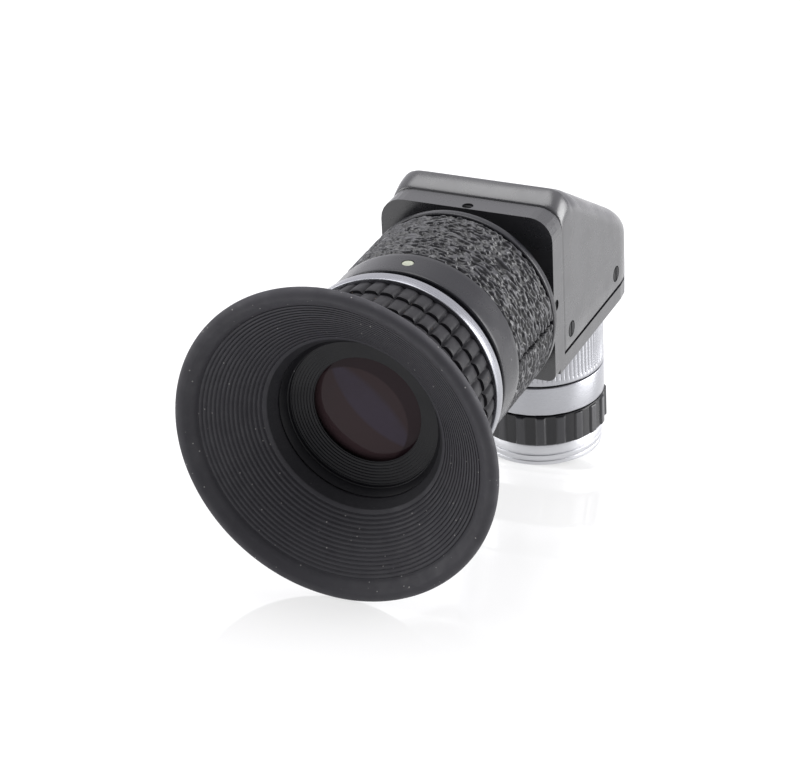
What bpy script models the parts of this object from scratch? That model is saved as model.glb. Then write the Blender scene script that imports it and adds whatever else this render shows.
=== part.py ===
"""A right-angle finder scope: a swivelling prism finder that screws on an eyepiece."""
import math

import bmesh
import bpy
from mathutils import Matrix

for old in list(bpy.data.objects):
    bpy.data.objects.remove(old, do_unlink=True)

MM = 0.001
gap = 0.3                       # between pieces that are fastened together
run = 0.15                      # radial clearance of a fit that turns or slides

# The tube below the housing, along +Z from the seat
tube_radius = 11.4
tube_wall = 1.4
shoulder = 1.4                  # the collar and the sleeve stand this proud of the spigot
grip_ring_radius = tube_radius + 0.35
thread_end_radius = tube_radius - 0.55
spigot_radius = tube_radius - shoulder
tube_bore = spigot_radius - tube_wall
sleeve_bottom = 2.0
grip_bottom = 4.2
grip_height = 5.8
sleeve_height = 5.7
collar_height = 13.7
flute_count = 20
grip_top = grip_bottom + grip_height
sleeve_top = grip_top + sleeve_height
collar_bottom = sleeve_top + gap

# The housing
house_half = 15.3
house_front = 31.0
house_back = 13.1
frame_depth = 4.4
frame_rise = 9.0                # frame top above the prism
frame_drop = 0.4                # the front frame stands this far below the floor
floor_thick = 2.0
skirt_height = 0.6
prism_half = 7.0
prism_floor = 3.9               # from the skirt to the prism
wall = 1.2
seam_gap = 0.45                 # between the cover's lower edge and the casting
ridge_at = -22.0
ridge_rise = 10.6               # the cover's ridge above the prism
roof_slope = 0.6
corner = 4.0
back_corner = 12.5
floor_bottom = collar_bottom + collar_height
floor_top = floor_bottom + floor_thick
skirt_top = floor_top + skirt_height
axis_height = skirt_top + prism_floor + prism_half
frame_top = axis_height + prism_half + frame_rise
ridge_height = axis_height + prism_half + ridge_rise

# The barrel, measured forward from the tube's axis
barrel_radius = 17.3
cover_skin = 1.4                # rear ring, wrap and index ring stand this proud of the tube
bearing_step = 1.3
bearing_wall = 2.2
neck_length = 3.6
rear_ring_length = 1.7
wrap_length = 15.4
index_length = 6.6
focus_space = 2.0               # between the index ring and the focusing ring
chrome_length = 2.3
grip_length = 10.2
bearing_length = 5.9
ring_step = 0.6                 # the focusing ring stands this proud of the barrel
block_count = 40
block_rows = 2
block_length = 4.0
travel = 1.5                    # the eyepiece's focus movement, each way
core = barrel_radius - cover_skin
focus_radius = barrel_radius + ring_step
focus_bearing = core - bearing_step
barrel_bore = focus_bearing - bearing_wall
neck_radius = barrel_bore + 0.4
tube_back = house_front - frame_depth + gap
barrel_back = house_front + neck_length
wrap_back = barrel_back + rear_ring_length
wrap_front = wrap_back + wrap_length
index_front = wrap_front + index_length
focus_back = index_front + focus_space
chrome_front = focus_back + chrome_length
focus_front = chrome_front + grip_length
tube_front = focus_back + bearing_length

# The eyepiece and the eyecup
lens_seat = 2.6                 # from the barrel's bore in to the lenses
lens_radius = barrel_bore - lens_seat
aperture_radius = lens_radius - 0.6
sleeve_length = 15.7
lens_tube_length = 4.8
rear_lens_depth = 4.4
spacer_length = 3.1
middle_lens_depth = 2.9
front_lens_depth = 4.1
cup_radius = 27.3
cup_depth = 8.4
cup_space = 3.4                 # from the cell's front to the cup's floor
cell_front = focus_front + 2.3
cup_floor = cell_front + cup_space
cup_front = cup_floor + cup_depth
cup_hole = focus_bearing + 0.3

parts = bpy.data.collections.new("finder_scope")
cutters = bpy.data.collections.new("cutters")
bpy.context.scene.collection.children.link(parts)
bpy.context.scene.collection.children.link(cutters)

BLACK = (0.03, 0.03, 0.033)
RUBBER = (0.045, 0.045, 0.05)
CHROME = (0.62, 0.63, 0.64)
STEEL = (0.45, 0.45, 0.46)
GLASS = (0.75, 0.8, 0.82)


def material(obj, colour, metallic=0.0, roughness=0.5):
    made = bpy.data.materials.new(obj.name)
    made.use_nodes = True
    shader = made.node_tree.nodes["Principled BSDF"]
    shader.inputs["Base Color"].default_value = (*colour, 1.0)
    shader.inputs["Metallic"].default_value = metallic
    shader.inputs["Roughness"].default_value = roughness
    obj.data.materials.append(made)


def place(obj, barrel):
    """On the tube's axis, or on the barrel's with local Z pointing at the eye."""
    if barrel:
        obj.location = (0.0, 0.0, axis_height * MM)
        obj.rotation_euler = (math.radians(90.0), 0.0, 0.0)


def finish(obj, look, helper, angle=35.0):
    home = cutters if helper else parts
    home.objects.link(obj)
    if helper:
        obj.hide_render = True
        obj.display_type = "WIRE"
        return obj
    material(obj, *look)
    for face in obj.data.polygons:
        face.use_smooth = True
    obj.data.set_sharp_from_angle(angle=math.radians(angle))
    return obj


def turned(name, profile, look=(BLACK,), barrel=False, steps=40, helper=False, disc=False):
    """A turned piece. profile is (radius, height) in mm round one side of the section."""
    area = 0.0
    for (r0, z0), (r1, z1) in zip(profile, profile[1:] + profile[:1]):
        area += r0 * z1 - r1 * z0
    path = profile if area < 0 else profile[::-1]
    mesh = bpy.data.meshes.new(name)
    points = [(r * MM, 0.0, z * MM) for r, z in path]
    edges = [(i, i + 1) for i in range(len(points) - 1)]
    if not disc:
        edges.append((len(points) - 1, 0))
    mesh.from_pydata(points, edges, [])
    obj = bpy.data.objects.new(name, mesh)
    screw = obj.modifiers.new("turn", "SCREW")
    screw.axis = "Z"
    screw.steps = steps
    screw.render_steps = steps
    screw.use_merge_vertices = True
    screw.merge_threshold = 0.00001
    screw.use_smooth_shade = True
    place(obj, barrel)
    return finish(obj, look, helper)


def disc(name, profile, look=(BLACK,), barrel=False, steps=40, helper=False):
    """A solid turned piece: the profile starts and ends on the axis, top to bottom."""
    return turned(name, profile, look, barrel, steps, helper, disc=True)


def ring(name, outer, inner, low, high, look=(BLACK,), barrel=False, steps=40, helper=False,
         edge=0.0):
    e = edge
    if e:
        profile = [(inner, high), (outer - e, high), (outer, high - e), (outer, low + e),
                   (outer - e, low), (inner, low)]
    else:
        profile = [(inner, high), (outer, high), (outer, low), (inner, low)]
    return turned(name, profile, look, barrel, steps, helper)


def prism_mesh(name, outline, low, high, look=(BLACK,), helper=False, barrel=False, angle=35.0,
               holder=None):
    """A closed outline (mm, in local XY) extruded along local Z."""
    mesh = bpy.data.meshes.new(name)
    work = bmesh.new()
    under = [work.verts.new((x * MM, y * MM, low * MM)) for x, y in outline]
    over = [work.verts.new((x * MM, y * MM, high * MM)) for x, y in outline]
    count = len(outline)
    work.faces.new(under[::-1])
    work.faces.new(over)
    for i in range(count):
        j = (i + 1) % count
        work.faces.new((under[i], under[j], over[j], over[i]))
    bmesh.ops.recalc_face_normals(work, faces=work.faces)
    work.to_mesh(mesh)
    work.free()
    obj = bpy.data.objects.new(name, mesh)
    place(obj, barrel)
    return finish(obj, look, helper, angle)


def block(name, low, high, look=(BLACK,), helper=True):
    (x0, y0, z0), (x1, y1, z1) = low, high
    outline = [(x0, y0), (x1, y0), (x1, y1), (x0, y1)]
    return prism_mesh(name, outline, z0, z1, look, helper)


def rounded(x0, y0, x1, y1, radii, arc=5):
    """A rectangle with its own radius at each corner, from the low corner round."""
    outline = []
    spots = [(x0, y0, 1, 1, 180), (x1, y0, -1, 1, 270), (x1, y1, -1, -1, 0), (x0, y1, 1, -1, 90)]
    for (x, y, sx, sy, start), radius in zip(spots, radii):
        if radius <= 0:
            outline.append((x, y))
            continue
        for i in range(arc + 1):
            turn = math.radians(start + 90 * i / arc)
            outline.append((x + sx * radius + radius * math.cos(turn),
                            y + sy * radius + radius * math.sin(turn)))
    return outline


def combine(obj, other, how="DIFFERENCE"):
    cut = obj.modifiers.new(how.lower(), "BOOLEAN")
    cut.operation = how
    cut.solver = "EXACT"
    cut.object = other


def dome(radius, centre, edge, count=3):
    """Points of a lens face from the axis out to its rim."""
    return [(radius * i / count, centre + (edge - centre) * (i / count) ** 2)
            for i in range(count + 1)]


def pin(name, radius, low, high, at, axis, look=(STEEL,), steps=16, helper=False, head=None,
        slot=0.0):
    """A short round piece along X (axis X) or Z from low to high. head is (radius, height)."""
    if head:
        profile = [(0, high), (head[0], high), (head[0], high - head[1]),
                   (radius, high - head[1]), (radius, low), (0, low)]
    else:
        profile = [(0, high), (radius, high), (radius, low), (0, low)]
    obj = disc(name, profile, look, False, steps, helper)
    obj.location = [v * MM for v in at]
    if axis == "X":
        obj.rotation_euler = (0.0, math.radians(90.0), 0.0)
    if axis == "-X":
        obj.rotation_euler = (0.0, math.radians(-90.0), 0.0)
    if axis == "-Y":
        obj.rotation_euler = (math.radians(90.0), 0.0, 0.0)
    if slot:
        wide = (head[0] if head else radius) + 1.0
        cutter = block(name + "_slot", (-wide, -slot / 2, high - 0.35), (wide, slot / 2, high + 1))
        cutter.location = obj.location
        cutter.rotation_euler = obj.rotation_euler
        combine(obj, cutter)
    return obj


def gear(outer, inner, count, share=0.62):
    """A toothed outline: flat-topped teeth and narrower valleys."""
    outline = []
    for i in range(count):
        start = 2 * math.pi * i / count
        pitch = 2 * math.pi / count
        for part, radius in ((0.0, outer), (share, outer), (share + 0.1, inner), (0.9, inner)):
            turn = start + pitch * part
            outline.append((radius * math.cos(turn), radius * math.sin(turn)))
    return outline


# ---- The mount: what stays still on the camera -------------------------------------------
collar_top = floor_bottom
spigot_top = skirt_top + 1.7
turned("mount_sleeve", [
    (tube_bore, spigot_top), (spigot_radius, spigot_top), (spigot_radius, sleeve_top),
    (tube_radius - 0.2, sleeve_top), (tube_radius, sleeve_top - 0.2),
    (tube_radius, grip_top + gap), (spigot_radius, grip_top + gap),
    (spigot_radius - 0.6, grip_top - 1.6), (spigot_radius - 0.6, sleeve_bottom),
    (tube_bore, sleeve_bottom),
], (CHROME, 1.0, 0.3))
glass = tube_bore - gap
base = sleeve_bottom + 0.6
ring("objective_retainer", glass, tube_bore - 2.0, base, base + 1.4, (BLACK,), steps=28)
disc("objective_front_lens", dome(glass, base + 3.9, base + 2.5) + [
    (glass, base + 1.8), (0, base + 1.8),
], (GLASS, 0.0, 0.05), steps=28)
disc("objective_rear_lens", [(0, base + 5.8), (glass, base + 5.8)]
     + dome(glass, base + 4.3, base + 2.9)[::-1], (GLASS, 0.0, 0.05), steps=28)
ring("objective_spacer", glass, tube_bore - 1.0, base + 6.2, base + 11.4, (BLACK,), steps=28)
ring("swivel_retainer", spigot_radius + 0.95, spigot_radius + gap, skirt_top + 0.25,
     skirt_top + 1.45, (BLACK,), steps=28)

# ---- The coupling ring, which screws on the camera's eyepiece -----------------------------
inner_grip = thread_end_radius
coupling_inner = spigot_radius - 0.6 + run
thread_bore = coupling_inner + 0.5
turned("coupling_ring", [
    (coupling_inner, grip_top - 2.2), (inner_grip - 0.9, grip_top - 0.9),
    (inner_grip - 0.3, grip_top - 0.4), (inner_grip - 0.3, grip_bottom),
    (inner_grip, grip_bottom - 0.3), (inner_grip, 2.4), (inner_grip - 0.35, 2.2),
    (inner_grip - 0.35, 1.7), (inner_grip, 1.5), (inner_grip, 0.2),
    (inner_grip - 0.2, 0), (thread_bore, 0), (thread_bore, 2.3), (coupling_inner, 2.3),
], (CHROME, 1.0, 0.3))
ring("coupling_retainer", thread_bore - run, tube_bore, 0.9, 1.7, (BLACK,))
coupling_grip = prism_mesh(
    "coupling_grip", gear(grip_ring_radius, grip_ring_radius - 0.35, flute_count, 0.36),
    grip_bottom + 0.1, grip_top, (BLACK,))
combine(coupling_grip, disc("coupling_grip_bore", [
    (0, grip_top + 1), (inner_grip, grip_top + 1), (inner_grip, grip_bottom - 1),
    (0, grip_bottom - 1),
], helper=True))

# ---- The housing ---------------------------------------------------------------------------
turned("swivel_collar", [
    (spigot_radius + run, skirt_top - 0.4), (spigot_radius + 1.0, skirt_top - 0.4),
    (spigot_radius + 1.0, collar_top - gap), (tube_radius, collar_top - gap),
    (tube_radius, collar_bottom + 0.2), (tube_radius - 0.2, collar_bottom),
    (spigot_radius + run, collar_bottom),
], (CHROME, 1.0, 0.3))

plan = rounded(-house_half, -house_front + frame_depth / 2, house_half, house_back,
               (0, 0, back_corner, back_corner), 7)
casting = prism_mesh("body_casting", plan, floor_bottom, skirt_top, (BLACK, 0.3, 0.4))
inner_plan = rounded(-house_half + wall, -house_front + frame_depth, house_half - wall,
                     house_back - wall, (0, 0, back_corner - wall, back_corner - wall), 7)
combine(casting, prism_mesh("casting_tray", inner_plan, floor_top, skirt_top + 1, helper=True))
frame_outline = rounded(-house_half, floor_bottom - frame_drop - axis_height, house_half,
                        frame_top - axis_height, (1.5, 1.5, corner, corner), 6)
combine(casting, prism_mesh("casting_frame", frame_outline, house_front - frame_depth,
                            house_front, helper=True, barrel=True), "UNION")
combine(casting, disc("casting_barrel_hole", [
    (0, house_front + 1), (neck_radius + gap, house_front + 1),
    (neck_radius + gap, house_front - frame_depth - 1), (0, house_front - frame_depth - 1),
], barrel=True, helper=True))
combine(casting, disc("casting_tube_hole", [
    (0, skirt_top + 1), (spigot_radius + 1.0 + gap, skirt_top + 1),
    (spigot_radius + 1.0 + gap, floor_bottom - 1), (0, floor_bottom - 1),
], helper=True))

screw_height = skirt_top + 3.3
screw_spots = ((-1.5, screw_height), (7.8 - house_front, screw_height))
lug_inner = spigot_radius + 1.5
lug_outer = house_half - wall - gap
for side, tag in ((1, "right"), (-1, "left")):
    for number, (y, z) in enumerate(screw_spots):
        low_x, high_x = sorted((side * lug_inner, side * lug_outer))
        lug = block(f"lug_{tag}_{number}", (low_x, y - 1.9, floor_top - 0.5),
                    (high_x, y + 1.9, z + 1.9))
        combine(casting, lug, "UNION")
for side, tag in ((1, "right"), (-1, "left")):
    for number, (y, z) in enumerate(screw_spots):
        axis = "X" if side > 0 else "-X"
        hole = pin(f"lug_hole_{tag}_{number}", 0.75 + gap, -6.0, 0.5, (side * house_half, y, z),
                   axis, helper=True, steps=12)
        combine(casting, hole)

set_y = house_front - 1.1
set_spots = (("top", (0, -set_y, frame_top), "Z"),
             ("right", (house_half, -set_y, axis_height), "X"),
             ("left", (-house_half, -set_y, axis_height), "-X"))
for tag, spot, axis in set_spots:
    reach = (frame_top - axis_height if tag == "top" else house_half) - neck_radius - gap
    combine(casting, pin(f"set_hole_{tag}", 0.8 + gap * 0.6, -reach - 0.5, 1.0, spot, axis,
                         helper=True, steps=12))
    pin(f"set_screw_{tag}", 0.8, -reach, -0.25, spot, axis, (STEEL, 1.0, 0.4), steps=12, slot=0.3)


def roof(y):
    """Height of the cover's top at y: a low ridge near the front, then the long slope."""
    ahead = ridge_at - y
    if ahead > 0:
        return ridge_height - 0.07 * ahead ** 2
    slope = ridge_height - roof_slope * (y - ridge_at)
    rounding = max(0.0, 3.0 + ahead) ** 2 * roof_slope / 6.0
    back = max(0.0, y - (house_back - 3.0)) ** 2 * 0.25
    return slope - rounding * 0.8 - back


def half_width(y):
    past = y - (house_back - back_corner)
    if past <= 0:
        return house_half
    return house_half - back_corner + math.sqrt(max(0.0, back_corner ** 2 - past ** 2))


def cover_body(name, inset, front, back, bottom, stations, arc, helper):
    """The cover's outer form, drawn in by inset on every side but the open ones."""
    work = bmesh.new()
    rows = []
    for share in stations:
        y = front + (back - front) * share
        wide = half_width(y) - inset
        high = roof(y) - inset * 1.15
        curve = min(max(corner - inset, 0.8), wide * 0.5)
        row = [(-wide, bottom), (-wide, high - curve)]
        for i in range(1, arc):
            turn = math.pi * (1 - 0.5 * i / arc)
            row.append((-wide + curve + curve * math.cos(turn),
                        high - curve + curve * math.sin(turn)))
        row.append((-wide + curve, high))
        row += [(-x, z) for x, z in row[::-1]]
        rows.append([work.verts.new((x * MM, y * MM, z * MM)) for x, z in row])
    for first, second in zip(rows, rows[1:]):
        for i in range(len(first)):
            j = (i + 1) % len(first)
            work.faces.new((first[i], first[j], second[j], second[i]))
    work.faces.new(rows[0][::-1])
    work.faces.new(rows[-1])
    bmesh.ops.recalc_face_normals(work, faces=work.faces)
    mesh = bpy.data.meshes.new(name)
    work.to_mesh(mesh)
    work.free()
    return finish(bpy.data.objects.new(name, mesh), (BLACK, 0.3, 0.4), helper, 25.0)


cover_start = -house_front + frame_depth + gap * 0.6
stations = (0.0, 0.06, 0.125, 0.165, 0.2, 0.755, 0.82, 0.88, 0.93, 0.97, 0.993, 1.0)
cover = cover_body("cover_shell", 0.0, cover_start, house_back, skirt_top + seam_gap, stations, 5, False)
inside_stations = (0.0, 0.06, 0.14, 0.2, 0.76, 0.84, 0.91, 0.965, 1.0)
combine(cover, cover_body("cover_inside", wall, cover_start - 1.0, house_back - wall,
                          skirt_top - 1.0, inside_stations, 3, True))
for side, tag in ((1, "right"), (-1, "left")):
    for number, (y, z) in enumerate(screw_spots):
        axis = "X" if side > 0 else "-X"
        spot = (side * house_half, y, z)
        hole = pin(f"cover_hole_{tag}_{number}", 0.75 + gap, -3.0, 1.0, spot, axis, helper=True,
                   steps=12, head=(1.25 + gap * 0.6, 1.0 + 0.55))
        combine(cover, hole)
        spot_name = "rear" if number == 0 else "front"
        pin(f"cover_screw_{tag}_{spot_name}", 0.75, -3.6, 0.0, spot, axis, (STEEL, 1.0, 0.4),
            steps=16, head=(1.25, 0.3), slot=0.35)

# The prism, its cradle and its clamp
a = prism_half
r2 = math.sqrt(2.0)
prism_points = [(0, -a, a), (a, -a, a - r2 * a), (-a, -a, a - r2 * a), (a, -a, -a), (-a, -a, -a),
                (0, a, -a), (a, a - r2 * a, -a), (-a, a - r2 * a, -a)]
work = bmesh.new()
for x, y, z in prism_points:
    work.verts.new((x * MM, y * MM, (z + axis_height) * MM))
hull = bmesh.ops.convex_hull(work, input=work.verts)
bmesh.ops.recalc_face_normals(work, faces=work.faces)
prism = bpy.data.meshes.new("roof_prism")
work.to_mesh(prism)
work.free()
finish(bpy.data.objects.new("roof_prism", prism), (GLASS, 0.0, 0.05), False, 20.0)

plate_top = axis_height - a - gap
plate_low = plate_top - 1.4
cheek_in = a + gap
cheek_out = a + gap + 1.3
foot = floor_top + gap
plate_x = lug_inner - 0.8
plate_y = a + 0.6
cradle = block("prism_cradle", (-plate_x, -plate_y, plate_low), (plate_x, plate_y, plate_top),
               (BLACK, 0.4, 0.5), False)
for x in (-plate_x, plate_x - 1.4):
    for y in (-plate_y, plate_y - 1.6):
        tag = ("right" if x > 0 else "left") + ("_rear" if y > 0 else "_front")
        combine(cradle, block("foot_" + tag, (x, y, foot), (x + 1.4, y + 1.6, plate_top - 0.2)),
                "UNION")
cheek_outline = [(1.0 - a, -a - 1.0), (a, -a - 1.0), (a, 0.2 - a), (1.0 - a, a - 0.8)]
for side in (-1, 1):
    cheek = prism_mesh(f"cheek_{side}", cheek_outline, cheek_in, cheek_out, helper=True)
    turn = Matrix(((0, 0, side, 0), (1, 0, 0, 0), (0, 1, 0, axis_height * MM), (0, 0, 0, 1)))
    cheek.data.transform(turn)
    if side < 0:
        cheek.data.flip_normals()
    combine(cradle, cheek, "UNION")
combine(cradle, disc("cradle_window", [
    (0, plate_top + 0.15), (a - 0.8, plate_top + 0.15), (a - 0.8, plate_low - 1),
    (0, plate_low - 1),
], helper=True, steps=32))
limit = rounded(-house_half + wall + gap, -house_front + frame_depth, house_half - wall - gap,
                house_back - wall - gap,
                (0, 0, back_corner - wall - gap, back_corner - wall - gap), 7)
combine(cradle, prism_mesh("cradle_limit", limit, floor_bottom, frame_top, helper=True),
        "INTERSECT")
clamp = block("prism_clamp", (-cheek_out, -2.0, gap), (cheek_out, 2.0, gap + 0.6),
              (STEEL, 1.0, 0.4), False)
clamp.location = (0.0, 0.0, axis_height * MM)
clamp.rotation_euler = (math.radians(-45.0), 0.0, 0.0)

# ---- The barrel ----------------------------------------------------------------------------
sleeve_back = tube_front - sleeve_length
front_bore = barrel_bore - 0.5
bore_step = sleeve_back - travel - 0.4
turned("barrel_tube", [
    (barrel_bore, tube_front), (focus_bearing, tube_front), (focus_bearing, focus_back - 0.2),
    (core, focus_back - 0.2), (core, barrel_back + gap), (neck_radius, barrel_back + gap),
    (neck_radius, tube_back), (front_bore, tube_back),
    (front_bore, bore_step - 0.6), (barrel_bore, bore_step),
], (BLACK, 0.3, 0.4), True)
ring("rear_ring", barrel_radius, core + gap, barrel_back, wrap_back - gap * 0.5, (BLACK,), True,
     edge=0.3)
ring("leatherette", barrel_radius - 0.05, core + gap, wrap_back + gap * 0.5,
     wrap_front - gap * 0.5, (RUBBER, 0.0, 0.7), True)
index = ring("index_ring", barrel_radius, core + gap, wrap_front + gap * 0.5, index_front,
             (BLACK,), True, edge=0.25)
dot_at = (wrap_front + index_front) / 2
combine(index, pin("dot_hole", 0.95, -0.55, 1.0, (0, -dot_at, axis_height + barrel_radius), "Z",
                   helper=True, steps=20))
pin("index_dot", 0.8, -0.4, -0.05, (0, -dot_at, axis_height + barrel_radius), "Z",
    ((0.8, 0.82, 0.75), 0.0, 0.5), steps=20)
field_glass = front_bore - 0.4
disc("field_lens", dome(field_glass, tube_back + 5.0, tube_back + 3.1)
     + dome(field_glass, tube_back + 1.5, tube_back + 1.9)[::-1],
     (GLASS, 0.0, 0.05), True, steps=28)
ring("field_lens_retainer", front_bore - gap, front_bore - 1.5, tube_back + 5.5,
     tube_back + 6.9, (BLACK,), True, steps=28)
ring("field_stop", front_bore - gap, front_bore - 3.7, tube_back + 11.7, tube_back + 12.7,
     (BLACK,), True, steps=28)

# ---- The focusing ring ---------------------------------------------------------------------
sleeve_out = focus_radius - 1.6
turned("focus_sleeve", [
    (focus_bearing + 0.9, focus_front), (sleeve_out, focus_front), (sleeve_out, chrome_front),
    (focus_radius - 0.2, chrome_front), (focus_radius, chrome_front - 0.25),
    (focus_radius, focus_back + 0.25), (focus_radius - 0.25, focus_back),
    (focus_bearing + run, focus_back), (focus_bearing + run, tube_front + gap),
    (focus_bearing + 0.9, tube_front + gap),
], (CHROME, 1.0, 0.3), True)
grip_back = chrome_front + 0.15
block_depth = 0.65
grip = prism_mesh("focus_grip", gear(focus_radius, focus_radius - block_depth, block_count, 0.6),
                  grip_back, focus_front, (RUBBER, 0.0, 0.7), barrel=True)
combine(grip, disc("focus_grip_bore", [
    (0, focus_front + 1), (sleeve_out + gap, focus_front + 1),
    (sleeve_out + gap, chrome_front - 1), (0, chrome_front - 1),
], barrel=True, helper=True))
for number in range(1, block_rows + 1):
    middle = grip_back + block_length * number
    combine(grip, ring(f"focus_groove_{number}", focus_radius + 1, focus_radius - block_depth + 0.1,
                       middle - 0.35, middle + 0.35, barrel=True, steps=64, helper=True))
focus_mark_angle = math.radians(-28.0)
mark_radius = focus_radius
mark = disc("focus_mark", [(0, 0.03), (0.55, 0.03), (0.55, -0.3), (0, -0.3)],
            ((0.75, 0.12, 0.03), 0.0, 0.5), steps=16)
mark_hole = disc("focus_mark_hole", [(0, 1.0), (0.7, 1.0), (0.7, -0.5), (0, -0.5)], helper=True,
                 steps=16)
for piece in (mark, mark_hole):
    piece.location = (mark_radius * math.cos(focus_mark_angle) * MM,
                      -(focus_back + chrome_front) / 2 * MM,
                      (axis_height + mark_radius * math.sin(focus_mark_angle)) * MM)
    piece.rotation_euler = (0.0, math.radians(90.0) - focus_mark_angle, 0.0)
combine(bpy.data.objects["focus_sleeve"], mark_hole)
retainer_front = tube_front + gap + 1.2
ring("focus_retainer", focus_bearing + 0.9 - run, barrel_bore + 0.6, tube_front + gap,
     retainer_front, (BLACK,), True)

# ---- The eyepiece, which slides without turning ---------------------------------------------
slide_out = barrel_bore - run
flange_low = retainer_front + travel + 0.5
flange_front = flange_low + 1.9
turned("ocular_sleeve", [
    (lens_radius + gap, flange_front), (focus_bearing + 0.9 - run, flange_front),
    (focus_bearing + 0.9 - run, flange_low), (slide_out, flange_low), (slide_out, sleeve_back),
    (lens_radius - 0.8, sleeve_back), (lens_radius - 0.8, sleeve_back + 1.2),
    (lens_radius + gap, sleeve_back + 1.2),
], (BLACK, 0.3, 0.4), True)
key_at = dot_at + 1.0
key_radius = 0.8
key_out = core - 0.2
slot_reach = travel + key_radius + run + 0.2
slot_low = axis_height - slide_out - 1
combine(bpy.data.objects["ocular_sleeve"],
        block("key_slot", (-key_radius - run, -key_at - slot_reach, slot_low),
              (key_radius + run, -key_at + slot_reach, slot_low + 4.0)))
key = pin("guide_key", key_radius, -(key_out - slide_out + 1.0), -0.1,
          (0, -key_at, axis_height - key_out), "Z", (STEEL, 1.0, 0.4), steps=16, slot=0.3)
key.rotation_euler = (math.radians(180.0), 0.0, 0.0)
bpy.data.objects["guide_key_slot"].rotation_euler = key.rotation_euler
key_hole = pin("key_hole", key_radius + gap * 0.6, -6.0, 1.0, (0, -key_at, axis_height - core),
               "Z", helper=True, steps=16)
key_hole.rotation_euler = (math.radians(180.0), 0.0, 0.0)
combine(bpy.data.objects["barrel_tube"], key_hole)

tube_start = sleeve_back + 1.6
rear_start = tube_start + lens_tube_length + gap
spacer_start = rear_start + rear_lens_depth + gap
middle_start = spacer_start + spacer_length + gap
front_start = middle_start + middle_lens_depth + gap
apex = front_start + front_lens_depth
ring("lens_tube", lens_radius, lens_radius - 1.2, tube_start, tube_start + lens_tube_length,
     (BLACK,), True, steps=28)
disc("eye_lens_rear", dome(lens_radius, rear_start + rear_lens_depth, rear_start + 2.4) + [
    (lens_radius, rear_start), (0, rear_start),
], (GLASS, 0.0, 0.05), True, steps=28)
ring("lens_spacer", lens_radius, lens_radius - 1.0, spacer_start, spacer_start + spacer_length,
     (BLACK,), True, steps=28)
disc("eye_lens_middle", [
    (0, middle_start + middle_lens_depth), (lens_radius, middle_start + middle_lens_depth),
    (lens_radius, middle_start), (0, middle_start),
], (GLASS, 0.0, 0.05), True, steps=28)
disc("eye_lens_front", dome(lens_radius, apex, apex - 1.4, 4) + [
    (lens_radius, front_start), (0, front_start),
], (GLASS, 0.0, 0.05), True, steps=40)
cell_back = flange_front + gap
cell_floor = cell_back + 1.2
cell_out = focus_bearing - 1.0
cell_mouth = cell_out - 1.2
cell_rows = 4
cell_steps = [(aperture_radius, cell_floor)]
for number in range(1, cell_rows + 1):
    radius = aperture_radius + (cell_mouth - aperture_radius) * number / cell_rows
    height = cell_front - (cell_front - cell_floor) * (cell_rows - number) / cell_rows
    cell_steps.append((radius, height - 0.4))
    cell_steps.append((radius, height))
turned("baffle_cell", cell_steps + [
    (cell_out, cell_front), (cell_out, cell_back), (lens_radius + 0.5, cell_back),
    (aperture_radius, cell_back + 0.7),
], (BLACK,), True)
ring("eyecup_ring", cell_out + gap + 0.8, cell_out + gap, cell_back, cell_front + 1.1, (BLACK,),
     True)
base_back = focus_front + travel + 0.4
cup_inner = cell_out + gap + 0.8 + gap
cup_neck = focus_radius - 0.7
rim_back = cup_front - 2.2


def flare(out, along):
    """A point of the cup's outer flare, from its neck to its rim."""
    return (cup_neck + (cup_radius - 1.0 - cup_neck) * out,
            base_back + (rim_back - base_back) * along)


turned("eyecup", [
    (cup_hole, cup_floor), (cup_radius - 1.9, cup_front - 0.7), (cup_radius - 1.2, cup_front - 0.15),
    (cup_radius - 0.7, cup_front), (cup_radius - 0.2, cup_front - 0.25),
    (cup_radius, cup_front - 0.8), (cup_radius - 0.15, cup_front - 1.4),
    flare(1.0, 1.0), flare(0.66, 0.67), flare(0.264, 0.33), flare(0.088, 0.13),
    (cup_neck, base_back + 0.4), (cup_neck - 0.4, base_back), (cup_inner, base_back),
    (cup_inner, cell_front + 1.4), (cup_inner - 0.8, cell_front + 1.4),
    (cup_inner - 0.8, cell_front + 2.2), (cup_hole, cell_front + 2.4),
], (RUBBER, 0.0, 0.75), True, steps=48)
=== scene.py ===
"""Looks of a right-angle finder scope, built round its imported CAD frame."""

import math

import bmesh
import bpy
from mathutils import Matrix, Vector, noise


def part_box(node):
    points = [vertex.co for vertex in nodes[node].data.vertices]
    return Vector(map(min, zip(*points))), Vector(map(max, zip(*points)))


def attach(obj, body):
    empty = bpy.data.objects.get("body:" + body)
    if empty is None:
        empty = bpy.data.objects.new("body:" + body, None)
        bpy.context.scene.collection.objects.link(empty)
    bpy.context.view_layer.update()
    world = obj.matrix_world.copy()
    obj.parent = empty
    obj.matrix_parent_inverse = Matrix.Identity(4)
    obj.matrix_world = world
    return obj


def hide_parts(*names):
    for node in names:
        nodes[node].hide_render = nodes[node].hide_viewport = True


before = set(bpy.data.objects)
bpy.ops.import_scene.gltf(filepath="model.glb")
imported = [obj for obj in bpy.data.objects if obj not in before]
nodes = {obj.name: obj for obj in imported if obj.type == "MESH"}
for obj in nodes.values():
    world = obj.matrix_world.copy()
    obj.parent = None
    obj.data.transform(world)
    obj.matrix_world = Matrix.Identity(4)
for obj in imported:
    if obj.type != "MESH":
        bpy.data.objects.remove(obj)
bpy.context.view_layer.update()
MM = 0.001
TAU = 2 * math.pi


# ---- Sizes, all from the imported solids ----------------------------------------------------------
def barrel_span(node):
    """(back, front, radius) of a turned barrel piece in mm, measured forward from the tube."""
    low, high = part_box(node)
    return -high.y / MM, -low.y / MM, (high.z - low.z) / 2 / MM


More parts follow.
